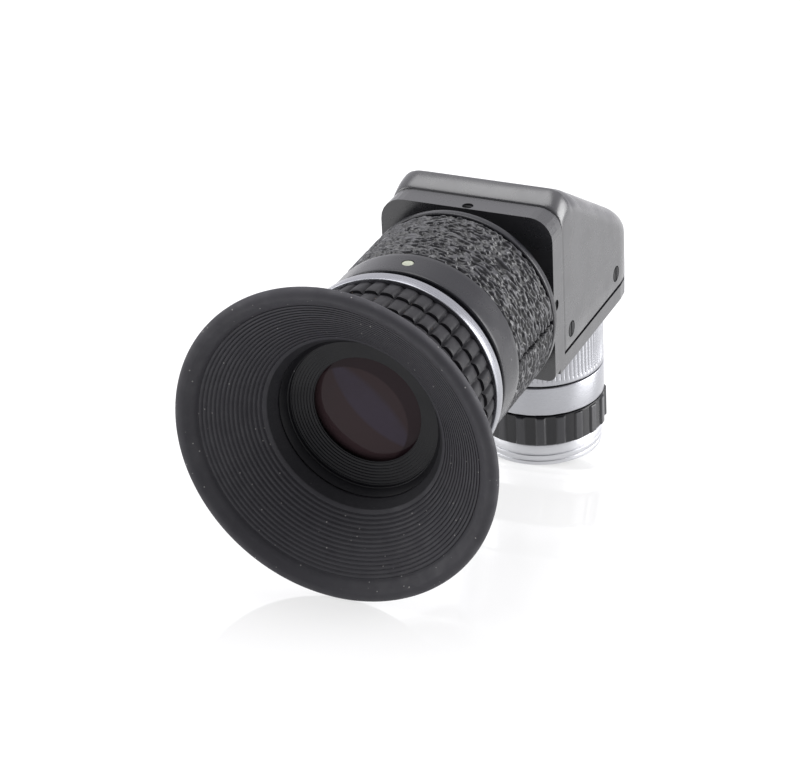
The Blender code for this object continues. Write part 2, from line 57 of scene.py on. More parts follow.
def tube_span(node):
    """(bottom, top, radius) of a turned tube piece in mm."""
    low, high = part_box(node)
    return low.z / MM, high.z / MM, (high.y - low.y) / 2 / MM


low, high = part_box("rear_ring")
axis_height = (low.z + high.z) / 2 / MM


# ---- Mesh helpers -------------------------------------------------------------------------------
def to_world(radius, turn, along, barrel):
    """A point at this radius, angle and distance along the barrel's or the tube's axis, in mm."""
    if barrel:
        return (radius * math.cos(turn) * MM, -along * MM,
                (axis_height + radius * math.sin(turn)) * MM)
    return (radius * math.cos(turn) * MM, radius * math.sin(turn) * MM, along * MM)


def mesh_object(name, points, faces, sharp):
    """A smooth-shaded object, faces out, with edges over this many degrees kept sharp."""
    mesh = bpy.data.meshes.new(name)
    mesh.from_pydata(points, [], faces)
    work = bmesh.new()
    work.from_mesh(mesh)
    bmesh.ops.recalc_face_normals(work, faces=work.faces)
    work.to_mesh(mesh)
    work.free()
    for face in mesh.polygons:
        face.use_smooth = True
    mesh.set_sharp_from_angle(angle=math.radians(sharp))
    obj = bpy.data.objects.new(name, mesh)
    bpy.context.scene.collection.objects.link(obj)
    return obj


def revolve(name, profile, barrel, steps=160, shape=None, sharp=32.0, closed=True):
    """A closed section turned round the axis. shape(radius, turn, along, index) may move a radius.
    A section that isn't closed starts and ends on the axis."""
    points = []
    faces = []
    count = len(profile)
    for step in range(steps):
        turn = TAU * step / steps
        for index, (radius, along) in enumerate(profile):
            if shape:
                radius = shape(radius, turn, along, index)
            points.append(to_world(radius, turn, along, barrel))
    for step in range(steps):
        a = step * count
        b = (step + 1) % steps * count
        for i in range(count if closed else count - 1):
            j = (i + 1) % count
            faces.append((a + i, a + j, b + j, b + i))
    if not closed:
        for i in (0, count - 1):
            points.append(to_world(0.0, 0.0, profile[i][1], barrel))
            tip = len(points) - 1
            for step in range(steps):
                faces.append((step * count + i, (step + 1) % steps * count + i, tip))
    return mesh_object(name, points, faces, sharp)


def cut_round(obj, radius, place, direction, depth=3.0):
    """Cuts a round hole into obj, centred at place (m) and running along direction."""
    tool = revolve(obj.name + "_cutter", [(radius, -depth), (radius, depth)], False, steps=40,
                   closed=False)
    tool.data.transform(Matrix.Translation(place)
                        @ Vector(direction).to_track_quat("Z", "Y").to_matrix().to_4x4())
    cut = obj.modifiers.new("hole", "BOOLEAN")
    cut.object = tool
    cut.solver = "EXACT"
    bpy.context.view_layer.update()
    graph = bpy.context.evaluated_depsgraph_get()
    finished = bpy.data.meshes.new_from_object(obj.evaluated_get(graph))
    obj.modifiers.clear()
    obj.data = finished
    obj.data.set_sharp_from_angle(angle=math.radians(35.0))
    bpy.data.objects.remove(tool, do_unlink=True)


def arc(centre, radius, start, end, count):
    """Points round an arc of a section, in degrees."""
    out = []
    for i in range(count + 1):
        turn = math.radians(start + (end - start) * i / count)
        out.append((centre[0] + radius * math.cos(turn), centre[1] + radius * math.sin(turn)))
    return out


def ring_section(outer, inner, low, high, edge=0.15, count=3):
    """A ring's section with rounded outer edges."""
    return ([(inner, low)] + arc((outer - edge, low + edge), edge, -90, 0, count)
            + arc((outer - edge, high - edge), edge, 0, 90, count) + [(inner, high)])


# ---- Material helpers ---------------------------------------------------------------------------
class Paint:
    """A Principled material with a few procedural layers."""

    def __init__(self, name, colour, roughness, metallic=0.0, **sockets):
        self.material = bpy.data.materials.new(name)
        self.material.use_nodes = True
        self.tree = self.material.node_tree
        self.shader = self.tree.nodes["Principled BSDF"]
        self.shader.inputs["Base Color"].default_value = (*colour, 1.0)
        self.shader.inputs["Roughness"].default_value = roughness
        self.shader.inputs["Metallic"].default_value = metallic
        for key, value in sockets.items():
            self.shader.inputs[key.replace("_", " ")].default_value = value
        self.where = self.tree.nodes.new("ShaderNodeTexCoord").outputs["Object"]
        self.colour = (*colour, 1.0)
        self.relief = None

    def node(self, kind, **settings):
        made = self.tree.nodes.new(kind)
        for key, value in settings.items():
            if hasattr(made, key):
                setattr(made, key, value)
            else:
                made.inputs[key].default_value = value
        return made

    def link(self, source, target):
        self.tree.links.new(source, target)

    def stretched(self, scale):
        mapping = self.node("ShaderNodeMapping")
        mapping.inputs["Scale"].default_value = scale
        self.link(self.where, mapping.inputs["Vector"])
        return mapping.outputs["Vector"]

    def noise(self, scale, detail=3.0, stretch=None):
        made = self.node("ShaderNodeTexNoise", Scale=scale, Detail=detail, Roughness=0.55)
        self.link(self.stretched(stretch) if stretch else self.where, made.inputs["Vector"])
        return made.outputs["Fac"]

    def ramp(self, value, low, high, first, last):
        """Maps value from low..high to first..last, clamped."""
        made = self.node("ShaderNodeMapRange")
        for key, number in (("From Min", low), ("From Max", high), ("To Min", first),
                            ("To Max", last)):
            made.inputs[key].default_value = number
        self.link(value, made.inputs["Value"])
        return made.outputs["Result"]

    def tint(self, mask, colour):
        """Mixes colour in where mask is 1."""
        mix = self.node("ShaderNodeMix", data_type="RGBA")
        target = self.shader.inputs["Base Color"]
        if target.is_linked:
            self.link(target.links[0].from_socket, mix.inputs[6])
        else:
            mix.inputs[6].default_value = self.colour
        mix.inputs[7].default_value = (*colour, 1.0)
        self.link(mask, mix.inputs[0])
        self.link(mix.outputs[2], target)

    def rough(self, value, low, high):
        """Lets roughness follow a noise value, from low to high."""
        self.link(self.ramp(value, 0.3, 0.7, low, high), self.shader.inputs["Roughness"])

    def bump(self, value, strength, distance):
        made = self.node("ShaderNodeBump", Strength=strength, Distance=distance)
        self.link(value, made.inputs["Height"])
        if self.relief:
            self.link(self.relief, made.inputs["Normal"])
        self.relief = made.outputs["Normal"]
        self.link(self.relief, self.shader.inputs["Normal"])

    def reach(self, axes, centre=(0.0, 0.0, 0.0)):
        """Distance from centre (given in mm) along these axes only, as a value in metres."""
        flat = self.node("ShaderNodeMapping")
        flat.inputs["Location"].default_value = [
            -c * MM if axis in axes else 0.0 for axis, c in zip("XYZ", centre)]
        flat.inputs["Scale"].default_value = [float(axis in axes) for axis in "XYZ"]
        self.link(self.where, flat.inputs["Vector"])
        length = self.node("ShaderNodeVectorMath", operation="LENGTH")
        self.link(flat.outputs["Vector"], length.inputs[0])
        return length.outputs["Value"]

    def specks(self, scale, size, share, colour, strength=0.8):
        """Small scattered spots, such as dust or chips."""
        cells = self.node("ShaderNodeTexVoronoi", Scale=scale)
        self.link(self.where, cells.inputs["Vector"])
        near = self.ramp(cells.outputs["Distance"], size, size * 0.5, 0.0, strength)
        split = self.node("ShaderNodeSeparateColor")
        self.link(cells.outputs["Color"], split.inputs["Color"])
        chosen = self.node("ShaderNodeMath", operation="GREATER_THAN")
        chosen.inputs[1].default_value = 1.0 - share
        self.link(split.outputs[0], chosen.inputs[0])
        both = self.node("ShaderNodeMath", operation="MULTIPLY")
        self.link(near, both.inputs[0])
        self.link(chosen.outputs[0], both.inputs[1])
        self.tint(both.outputs[0], colour)


def rubber(name, colour, dust, share, roughness=0.62, ior=1.5):
    """Matt rubber with broad lighter areas, fine grain and a share of dust specks."""
    made = Paint(name, colour, roughness, IOR=ior)
    broad = made.noise(90.0, 4.0)
    made.tint(made.ramp(broad, 0.45, 0.75, 0.0, 0.5), tuple(c * 1.35 for c in colour))
    made.rough(made.noise(400.0), roughness - 0.08, roughness + 0.1)
    made.specks(1100.0, 0.16, share, dust)
    made.specks(420.0, 0.07, share * 0.6, dust, 0.9)
    made.bump(made.noise(5200.0, 2.0), 0.25, 0.00004)
    return made


def satin_black(name, colour, roughness, wear=0.02, ior=1.5):
    """Black paint or anodising with a little wear."""
    made = Paint(name, colour, roughness, IOR=ior)
    made.tint(made.ramp(made.noise(60.0), 0.5, 0.8, 0.0, 0.6), tuple(c * 1.3 for c in colour))
    made.rough(made.noise(220.0, 5.0), roughness - 0.05, roughness + 0.06)
    made.specks(700.0, 0.09, wear, (0.35, 0.35, 0.36), 0.7)
    made.bump(made.noise(3800.0, 2.0), 0.2, 0.00003)
    return made.material


def satin_chrome(name, colour, roughness, barrel):
    """Chrome with fine turning lines round the barrel's or the tube's axis."""
    made = Paint(name, colour, roughness, 1.0)
    stretch = (1.0, 60.0, 1.0) if barrel else (1.0, 1.0, 60.0)
    lines = made.noise(120.0, 3.0, stretch)
    made.tint(made.ramp(made.noise(45.0), 0.45, 0.8, 0.0, 0.5), tuple(c * 0.86 for c in colour))
    made.rough(lines, roughness - 0.06, roughness + 0.07)
    made.specks(600.0, 0.08, 0.04, tuple(c * 0.45 for c in colour), 0.6)
    made.bump(lines, 0.12, 0.00002)
    return made.material


cup_paint = rubber("cup_rubber", (0.026, 0.025, 0.031), (0.3, 0.29, 0.28), 0.14)
from_axis = cup_paint.reach("XZ", (0.0, 0.0, axis_height))
cup_paint.tint(cup_paint.ramp(from_axis, 15.02 * MM, 14.92 * MM, 0.0, 0.85),
               (0.008, 0.008, 0.011))  # painted shade: the wall inside the cone is darker
cup_rubber = cup_paint.material
grip_rubber = rubber("grip_rubber", (0.013, 0.0125, 0.015), (0.2, 0.14, 0.1), 0.1, 0.5,
                     1.34).material
cell_black = satin_black("cell_black", (0.006, 0.006, 0.008), 0.45, 0.03, 1.38)
paint_black = satin_black("paint_black", (0.02, 0.02, 0.023), 0.27, 0.03, 1.85)
ring_black = satin_black("ring_black", (0.01, 0.01, 0.013), 0.25, 0.03, 1.45)
inner_black = satin_black("inner_black", (0.008, 0.008, 0.009), 0.6)
tube_chrome = satin_chrome("tube_chrome", (0.43, 0.435, 0.46), 0.3, False)
end_chrome = satin_chrome("end_chrome", (0.62, 0.625, 0.65), 0.42, False)
ring_chrome = satin_chrome("ring_chrome", (0.34, 0.345, 0.37), 0.26, True)
screw_black = satin_black("screw_black", (0.006, 0.006, 0.007), 0.5, 0.0, 1.3)
steel = satin_chrome("dark_steel", (0.1, 0.1, 0.105), 0.35, True)
spring = satin_chrome("spring_steel", (0.5, 0.5, 0.52), 0.3, True)

fluted = Paint("flute_black", (0.006, 0.006, 0.008), 0.3, IOR=1.5)
# Painted shade and highlight: the hollows stay dark and the raised bars are painted lighter
fluted.tint(fluted.ramp(fluted.reach("XY"), 11.45 * MM, 11.7 * MM, 0.0, 1.0),
            (0.035, 0.035, 0.039))
fluted.rough(fluted.noise(220.0, 5.0), 0.26, 0.36)
fluted.specks(700.0, 0.09, 0.03, (0.3, 0.3, 0.31), 0.7)
flute_black = fluted.material

wrap = Paint("wrap_black", (0.002, 0.002, 0.003), 0.3, IOR=1.65)
from_axis = wrap.reach("XZ", (0.0, 0.0, axis_height))
# Painted shade and highlight: the grain's valleys stay dark and its ridges are painted lighter
wrap.tint(wrap.ramp(from_axis, 16.95 * MM, 17.3 * MM, 0.0, 1.0), (0.028, 0.028, 0.033))
wrap.rough(wrap.noise(900.0), 0.26, 0.4)
wrap.bump(wrap.noise(2600.0, 3.0), 0.2, 0.00005)
wrap_black = wrap.material

# The front lens: a painted reflection, a bluish sash where two large circles overlap, and a painted
# shadow, a dark crescent at the rim
# The lens is opaque: its dark mauve ground is the coating's tint over painted shade for the barrel
# behind it
coat = Paint("coated_glass", (0.043, 0.027, 0.03), 0.03, IOR=1.22)
sash_shift = 12.0
low_arc = coat.reach("XZ", (-sash_shift, 0.0, axis_height - sash_shift))
high_arc = coat.reach("XZ", (sash_shift, 0.0, axis_height + sash_shift))
# Painted reflection: the sash is lighter where the two circles overlap
sash = coat.node("ShaderNodeMath", operation="MULTIPLY")
coat.link(coat.ramp(low_arc, 20.6 * MM, 19.6 * MM, 0.0, 1.0), sash.inputs[0])
coat.link(coat.ramp(high_arc, 19.6 * MM, 19.0 * MM, 0.0, 1.0), sash.inputs[1])
coat.tint(sash.outputs[0], (0.049, 0.038, 0.055))
# Painted shadow: a dark crescent at the rim
crescent = coat.reach("XZ", (-2.4, 0.0, axis_height - 2.2))
coat.tint(coat.ramp(crescent, 8.7 * MM, 9.0 * MM, 0.0, 1.0), (0.024, 0.014, 0.017))
coat.tint(coat.ramp(coat.noise(160.0), 0.55, 0.8, 0.0, 0.5), (0.04, 0.03, 0.034))
coated_glass = coat.material

deep = Paint("inner_coated_glass", (0.12, 0.1, 0.12), 0.02, IOR=1.35, Transmission_Weight=0.8)
deep.tint(deep.ramp(deep.noise(70.0), 0.4, 0.7, 0.0, 1.0), (0.1, 0.1, 0.13))
inner_glass = deep.material
clear = Paint("clear_glass", (0.8, 0.8, 0.84), 0.01, IOR=1.5, Transmission_Weight=1.0)
clear.tint(clear.ramp(clear.noise(60.0), 0.4, 0.7, 0.0, 1.0), (0.76, 0.78, 0.84))
clear_glass = clear.material

white_fill = Paint("white_fill", (0.4, 0.42, 0.33), 0.45)
white_fill.tint(white_fill.ramp(white_fill.noise(900.0), 0.5, 0.75, 0.0, 0.6), (0.28, 0.3, 0.23))
red_fill = Paint("red_fill", (0.75, 0.16, 0.05), 0.45)
red_fill.tint(red_fill.ramp(red_fill.noise(900.0), 0.5, 0.75, 0.0, 0.5), (0.5, 0.1, 0.04))


def dress(obj, material):
    """Gives a piece its material, on every slot."""
    if not obj.data.materials:
        obj.data.materials.append(material)
    for slot in obj.material_slots:
        slot.material = material


def add(obj, material, body, slot, *replaced):
    """Puts a drawn piece on its body, in the place of a CAD node."""
    dress(obj, material)
    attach(obj, body)
    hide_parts(*replaced)


# ---- The CAD nodes that stay --------------------------------------------------------------------
kept = {
    "objective_retainer": inner_black, "objective_spacer": inner_black,
    "swivel_retainer": inner_black, "coupling_retainer": flute_black,
    "prism_cradle": inner_black, "field_lens_retainer": inner_black, "field_stop": inner_black,
    "focus_retainer": inner_black, "ocular_sleeve": inner_black, "lens_tube": inner_black,
    "lens_spacer": inner_black, "prism_clamp": spring,
    "objective_front_lens": inner_glass, "objective_rear_lens": clear_glass,
    "roof_prism": clear_glass, "field_lens": clear_glass, "eye_lens_rear": clear_glass,
    "eye_lens_middle": inner_glass, "body_casting": paint_black, "guide_key": steel,
    "focus_mark": red_fill.material,
}
screws = [name for name in nodes if name.startswith(("cover_screw", "set_screw"))]
kept.update({name: screw_black for name in screws})
for name, material in kept.items():
    dress(nodes[name], material)


def soften(obj, width, angle=40.0):
    """Rounds edges sharper than this angle by this width, in mm."""
    bevel = obj.modifiers.new("soft_edges", "BEVEL")
    bevel.width = width * MM
    bevel.segments = 2
    bevel.limit_method = "ANGLE"
    bevel.angle_limit = math.radians(angle)


soften(nodes["body_casting"], 0.22)
for name in screws:
    soften(nodes[name], 0.07)

# ---- The eyecup ---------------------------------------------------------------------------------
cup_back, cup_front, cup_radius = barrel_span("eyecup")
cup_bore = 15.0
throat_at = 76.5               # where the inner wall ends, just over the clip ring
throat_radius = 13.85
hole_radius = 14.9             # where the grooved cone meets the inner wall
hole_at = cup_front - 8.4
groove_end = cup_radius - 3.3
groove_count = 15
groove_shape = ((0.0, 0.0), (0.12, -0.16), (0.3, -0.2), (0.42, -0.05), (0.72, 0.02),
                (0.93, 0.02))  # share of the pitch, height
cone_bow = 0.35
lip = 1.15
section = [(cup_bore, throat_at), (cup_bore, cup_back + 0.25), (15.3, cup_back),
           (16.9, cup_back)]
section += arc((16.9, cup_back + 0.5), 0.5, -80, 0, 4)
section += [(17.6, 76.1), (18.3, 77.2), (19.4, 78.5), (21.0, 80.1), (23.0, 81.9),
            (cup_radius - 2.2, 83.6), (cup_radius - 1.0, 84.7)]
section += arc((cup_radius - lip, cup_front - lip), lip, -35, 120, 14)
section += [(cup_radius - 2.2, cup_front - 0.62), (cup_radius - 2.7, cup_front - 1.0),
            (cup_radius - 3.05, cup_front - 1.35)]
start = (groove_end, cup_front - 1.75)
end = (hole_radius + 0.35, hole_at + 0.15)
for number in range(groove_count):
    for share, rise in groove_shape:
        t = (number + share) / groove_count
        radius = start[0] + (end[0] - start[0]) * t
        along = start[1] + (end[1] - start[1]) * t + cone_bow * math.sin(math.pi * t)
        section.append((radius, along + rise))
section += [(hole_radius + 0.1, hole_at + 0.05), (hole_radius, hole_at - 0.12),
            (hole_radius - 0.1, hole_at - 0.3), (14.35, 77.5), (13.95, 76.8),
            (throat_radius, 76.62), (throat_radius, throat_at)]
add(revolve("rubber_eyecup", section, True, 256, sharp=50.0), cup_rubber, "ocular", "rubber",
    "eyecup")

# The eyepiece cell: a flat front, then fine rings that step down to the lens
cell_back, cell_front, cell_radius = barrel_span("baffle_cell")
ring_back, ring_front, clip_radius = barrel_span("eyecup_ring")
clip_bore = 13.66
step_radius = 12.94            # where the clip ring's slope meets the cell
section = [(clip_bore, ring_back), (clip_radius, ring_back), (clip_radius, ring_front + 0.05),
           (13.8, ring_front + 0.12), (13.7, ring_front), (12.98, cell_front + 0.22),
           (step_radius, cell_front + 0.1), (clip_bore, cell_front + 0.1)]
add(revolve("cup_clip_ring", section, True, 160), cell_black, "ocular", "black_anodised",
    "eyecup_ring")

aperture = 9.2
cell_inner = 12.75
cell_bore = 10.3
rings = 8
first_depth = 0.6
rings_depth = 1.35
pitch = (cell_inner - aperture) / rings
section = [(cell_bore, cell_back), (cell_radius, cell_back), (cell_radius, cell_front - 0.08),
           (cell_radius - 0.08, cell_front), (cell_inner + 0.3, cell_front),
           (cell_inner + 0.1, cell_front - 0.08), (cell_inner, cell_front - 0.55)]
for number in range(rings):
    radius = cell_inner - (cell_inner - aperture) * number / rings
    depth = cell_front - first_depth - rings_depth * number / rings
    section += [(radius - 0.02, depth), (radius - pitch * 0.55, depth),
                (radius - pitch * 0.62, depth - 0.15), (radius - pitch * 0.95, depth - 0.17)]
section += [(aperture, cell_front - 2.05), (aperture, 72.95), (aperture + 0.3, 72.6),
            (cell_bore, 72.0)]
add(revolve("stepped_cell", section, True, 192), cell_black, "ocular", "black_anodised",
    "baffle_cell")

lens_back, lens_front, lens_radius = barrel_span("eye_lens_front")
sag = 0.7
dome_steps = 11
section = [(lens_radius * 0.04, lens_back), (lens_radius - 0.15, lens_back),
           (lens_radius, lens_back + 0.15), (lens_radius, lens_front - sag)]
for number in range(1, dome_steps):
    share = number / dome_steps
    section.append((lens_radius * (1 - share), lens_front - sag * (1 - share) ** 2))
add(revolve("front_lens", section, True, 128, closed=False), coated_glass, "ocular",
    "coated_glass", "eye_lens_front")

# ---- The focusing ring --------------------------------------------------------------------------
sleeve_back, sleeve_front, ring_radius = barrel_span("focus_sleeve")
grip_back, grip_front, _ = barrel_span("focus_grip")
band_front = grip_back - 0.1
bearing_bore = 14.75
counterbore = 15.5             # takes the focus retainer
bore_step = 66.5
grip_seat = 16.35
section = ([(bearing_bore, bore_step), (bearing_bore, sleeve_back + 0.05),
            (ring_radius - 0.5, sleeve_back)]
           + arc((ring_radius - 0.25, sleeve_back + 0.25), 0.25, -90, 0, 4)
           + arc((ring_radius - 0.2, band_front - 0.2), 0.2, 0, 90, 4)
           + [(grip_seat, band_front), (grip_seat, sleeve_front), (counterbore, sleeve_front),
              (counterbore, bore_step)])
add(revolve("chrome_focus_band", section, True, 192), ring_chrome, "focus_ring", "satin_chrome",
    "focus_sleeve")

columns = 40                   # blocks round the grip
per_column = 16                # steps across a block
crest = 0.84                   # how far a block rises from the valley
valley = ring_radius - 0.88
row_length = 4.0
row_shares = (0.0, 0.05, 0.14, 0.28, 0.45, 0.62, 0.78, 0.88, 0.94, 0.975)
drop_at = 0.88                 # share of a row where its blocks start to drop
stations = []                  # (distance along the barrel, share of the row)
back = grip_back
while back < grip_front - 0.3:
    for v in row_shares:
        along = back + row_length * v
        if along < grip_front - 0.12:
            stations.append((along, v))
    if back + row_length < grip_front - 0.3:
        stations.append((back + row_length * 0.98, 0.0))
    back += row_length
grip_bore = 16.62
profile = [(grip_bore, grip_back)] + [(valley, y) for y, v in stations]
profile += [(valley - 0.1, grip_front - 0.05), (grip_bore, grip_front - 0.05)]


def grip_shape(radius, turn, along, index):
    """Blocks that swell towards the eye in each row, then drop."""
    if not 1 <= index <= len(stations):
        return radius
    v = stations[index - 1][1]
    u = abs(turn / TAU * columns % 1.0 - 0.5) / 0.44
    bulge = math.sqrt(max(0.0, 1 - u ** 3.4)) if u < 1 else 0.0
    swell = 0.08 if v == 0 else 0.42 + 0.58 * (1 - (1 - min(v, drop_at) / drop_at) ** 1.5)
    if v > drop_at:
        swell -= ((v - drop_at) / 0.095) ** 2 * 0.1
    return radius + crest * bulge * swell


add(revolve("blocked_grip", profile, True, columns * per_column, grip_shape, 48.0), grip_rubber,
    "focus_ring", "rubber", "focus_grip")

# ---- The barrel ---------------------------------------------------------------------------------
wrap_seat = 16.2                # inner radius of the rings and of the wrap
rear_back, rear_front, rear_radius = barrel_span("rear_ring")
add(revolve("barrel_rear_ring", ring_section(rear_radius, wrap_seat, rear_back, rear_front,
                                             0.3, 4),
            True, 192), ring_black, "housing", "black_anodised", "rear_ring")

index_back, index_front, index_radius = barrel_span("index_ring")
section = ([(wrap_seat, index_back)]
           + arc((index_radius - 0.12, index_back + 0.12), 0.12, -90, 0, 3)
           + [(index_radius, index_back + 1.0), (index_radius, index_front - 1.0)]
           + arc((index_radius - 0.35, index_front - 0.35), 0.35, 0, 90, 5)
           + [(wrap_seat, index_front)])
index = revolve("barrel_index_ring", section, True, 256)
low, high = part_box("index_dot")
middle = (low + high) / 2
dot_radius = (high.x - low.x) / 2 / MM + 0.18
cut_round(index, dot_radius + 0.07, middle, (0.0, 0.0, 1.0), 1.0)
add(index, ring_black, "housing", "black_anodised", "index_ring")

dot_top = high.z / MM
section = [(dot_radius, low.z / MM), (dot_radius, dot_top - 0.12),
           (dot_radius - 0.08, dot_top - 0.03), (dot_radius * 0.6, dot_top),
           (dot_radius * 0.1, dot_top)]
dot = revolve("painted_dot", section, False, 48, closed=False)
dot.data.transform(Matrix.Translation((middle.x, middle.y, 0.0)))
add(dot, white_fill.material, "housing", "white_mark", "index_dot")

tube_back, tube_front, core = barrel_span("barrel_tube")
neck = 12.8
neck_bore = 11.9
tube_bore = 12.4
bearing = 14.6                 # the focusing ring turns on this
section = [(tube_bore, tube_front), (bearing, tube_front), (bearing, index_front + 1.75),
           (core - 0.1, index_front + 1.75), (core, index_front + 1.6), (core, rear_back + 0.4),
           (core - 0.2, rear_back + 0.2), (neck + 0.3, rear_back + 0.2), (neck, rear_back - 0.1),
           (neck, tube_back), (neck_bore, tube_back), (neck_bore, 48.0), (tube_bore, 48.6)]
add(revolve("barrel_core", section, True, 160), inner_black, "housing", "black_paint",
    "barrel_tube")

# The wrap: a displaced sleeve of elongated wrinkles, with one open seam
wrap_back, wrap_front, wrap_radius = barrel_span("leatherette")
seam_turn = math.radians(1.5)
seam_half = 0.28
seam_depth = 0.3
around = 1000
along_count = 150
relief = 0.5
wrinkle_length = 1.25          # round the barrel
wrinkle_width = 0.44           # along it
fade = 0.25                    # the grain flattens this near the wrap's edges


def wrinkle(turn, along):
    """Height of the embossed grain, 0 to 1."""
    across = Vector((math.cos(turn), math.sin(turn), 0.0))
    bend = noise.noise(across * 14 + Vector((0, 0, along * 0.5))) * 0.3
    place = (across * (wrap_radius / wrinkle_length)
             + Vector((0, 0, (along + bend) / wrinkle_width)))
    value = noise.noise(place) + 0.2 * noise.noise(place * 2.1 + Vector((7.0, 3.0, 1.0)))
    return min(1.0, max(0.0, 0.5 + 1.5 * value))


points = []
faces = []
for step in range(around):
    turn = seam_turn + TAU * (step + 0.5) / around
    from_seam = min(step, around - 1 - step) / around * TAU * wrap_radius
    for row in range(along_count):
        along = wrap_back + (wrap_front - wrap_back) * row / (along_count - 1)
        edge = min(along - wrap_back, wrap_front - along)
        height = relief * wrinkle(turn, along)
        if edge < fade:
            height *= 0.25 + 3.0 * edge
        if from_seam < seam_half:
            height = -seam_depth
        points.append(to_world(wrap_radius - relief + 0.1 + height, turn, along, True))
    for along in (wrap_front, wrap_back):
        points.append(to_world(wrap_seat, turn, along, True))
width = along_count + 2
for step in range(around):
    a = step * width
    b = (step + 1) % around * width
    for i in range(width):
        j = (i + 1) % width
        faces.append((a + i, a + j, b + j, b + i))
add(mesh_object("grained_wrap", points, faces, 70.0), wrap_black, "housing", "wrap",
    "leatherette")

# ---- The housing cover --------------------------------------------------------------------------
cover_low, cover_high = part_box("cover_shell")
house_half = cover_high.x / MM
house_back = cover_high.y / MM
cover_start = cover_low.y / MM - 0.1
cover_bottom = cover_low.z / MM
cover_wall = 1.2
ridge_at = -22.0
ridge_height = 60.8
roof_slope = 0.6
corner = 4.0                   # rounding along the roof's edges
back_corner = 12.5             # rounding of the plan at the back
straight_rows = 40
corner_rows = 16


def roof(y):
    """Height of the roof at y: a low ridge, then the long slope, rounded at both ends."""
    ahead = ridge_at - y
    if ahead > 0:
        return ridge_height - 0.07 * ahead ** 2
    slope = ridge_height - roof_slope * (y - ridge_at)
    rounding = max(0.0, 3.0 + ahead) ** 2 * roof_slope / 6.0
    back = max(0.0, y - (house_back - 3.0)) ** 2 * 0.25
    return slope - rounding * 0.8 - back


def half_width(y):
    """Half the cover's width at y."""
    past = y - (house_back - back_corner)
    if past <= 0:
        return house_half
    return house_half - back_corner + math.sqrt(max(0.0, back_corner ** 2 - past ** 2))


def cover_rows(inset, back):
    """Arched rows of points from front to back, this far inside the outer face."""
    rows = []
    for number in range(straight_rows + corner_rows + 1):
        if number < straight_rows:
            y = cover_start + (back - back_corner - cover_start) * number / straight_rows
        else:
            turn = math.radians(90 * (number - straight_rows) / corner_rows)
            y = back - back_corner + back_corner * math.sin(turn)
        wide = half_width(min(y + inset * 0.99, house_back)) - inset
        top = roof(y) - inset * 1.15
        curve = min(max(corner - inset, 0.8), wide * 0.5)
        row = [(-wide, cover_bottom)]
        row += [(-wide, cover_bottom + (top - curve - cover_bottom) * i / 6) for i in range(1, 6)]
        for i in range(13):
            turn = math.pi * (1 - 0.5 * i / 12)
            row.append((-wide + curve + curve * math.cos(turn),
                        top - curve + curve * math.sin(turn)))
        row.append((-wide * 0.4, top))
        row += [(-x, z) for x, z in row[::-1]]
        rows.append([(x * MM, y * MM, z * MM) for x, z in row])
    return rows


outer_rows = cover_rows(0.0, house_back)
inner_rows = cover_rows(cover_wall, house_back - cover_wall)
points = []
faces = []
span = len(outer_rows[0])
for rows_set in (outer_rows, inner_rows):
    for row in rows_set:
        points += row
offset = len(outer_rows) * span
for number in range(len(outer_rows) - 1):
    for i in range(span - 1):
        a = number * span + i
        faces.append((a, a + 1, a + 1 + span, a + span))
        faces.append((offset + a, offset + a + 1, offset + a + 1 + span, offset + a + span))
last = (len(outer_rows) - 1) * span
faces.append(tuple(last + i for i in range(span)))
faces.append(tuple(offset + last + i for i in range(span)))
for i in range(span - 1):
    faces.append((i, i + 1, offset + i + 1, offset + i))
for number in range(len(outer_rows) - 1):
    for i in (0, span - 1):
        a = number * span + i
        faces.append((a, a + span, offset + a + span, offset + a))
faces.append((last, last + span - 1, offset + last + span - 1, offset + last))
cover = mesh_object("prism_cover", points, faces, 40.0)
soften(cover, 0.18, 50.0)
screw_seat = 1.42
for name in ("cover_screw_right_rear", "cover_screw_right_front", "cover_screw_left_rear",
             "cover_screw_left_front"):
    low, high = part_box(name)
    middle = (low + high) / 2
    side = 1 if middle.x > 0 else -1
    cut_round(cover, screw_seat, Vector((side * house_half * MM, middle.y, middle.z)),
              (side, 0.0, 0.0))
add(cover, paint_black, "housing", "black_paint", "cover_shell")

# ---- The tube: the lined collar, the sleeve and the coupling ring -------------------------------
collar_low, collar_high, collar_radius = tube_span("swivel_collar")
flange_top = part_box("body_casting")[0].z / MM + 0.1
spigot = 10.0                  # the sleeve's upper part, which the collar turns on
collar_bore = spigot + 0.15
line_count = 84
line_depth = 0.19


def collar_lines(radius, turn, along, index):
    """Fine engraved lines round the collar."""
    if not 5 <= index <= 8:
        return radius
    u = turn / TAU * line_count % 1.0
    return radius - line_depth * max(0.0, math.cos(TAU * (u - 0.5))) ** 1.4


section = [(collar_bore, collar_low), (collar_radius - 0.2, collar_low),
           (collar_radius - 0.06, collar_low + 0.06), (collar_radius, collar_low + 0.2),
           (collar_radius, collar_low + 0.9), (collar_radius, collar_low + 1.1),
           (collar_radius, collar_low + 5.0), (collar_radius, collar_low + 9.0),
           (collar_radius, flange_top - 0.3), (collar_radius, flange_top - 0.1),
           (collar_radius, flange_top), (11.0, flange_top), (11.0, collar_high),
           (collar_bore, collar_high)]
add(revolve("lined_collar", section, False, line_count * 8, collar_lines, 50.0), tube_chrome,
    "housing", "satin_chrome", "swivel_collar")

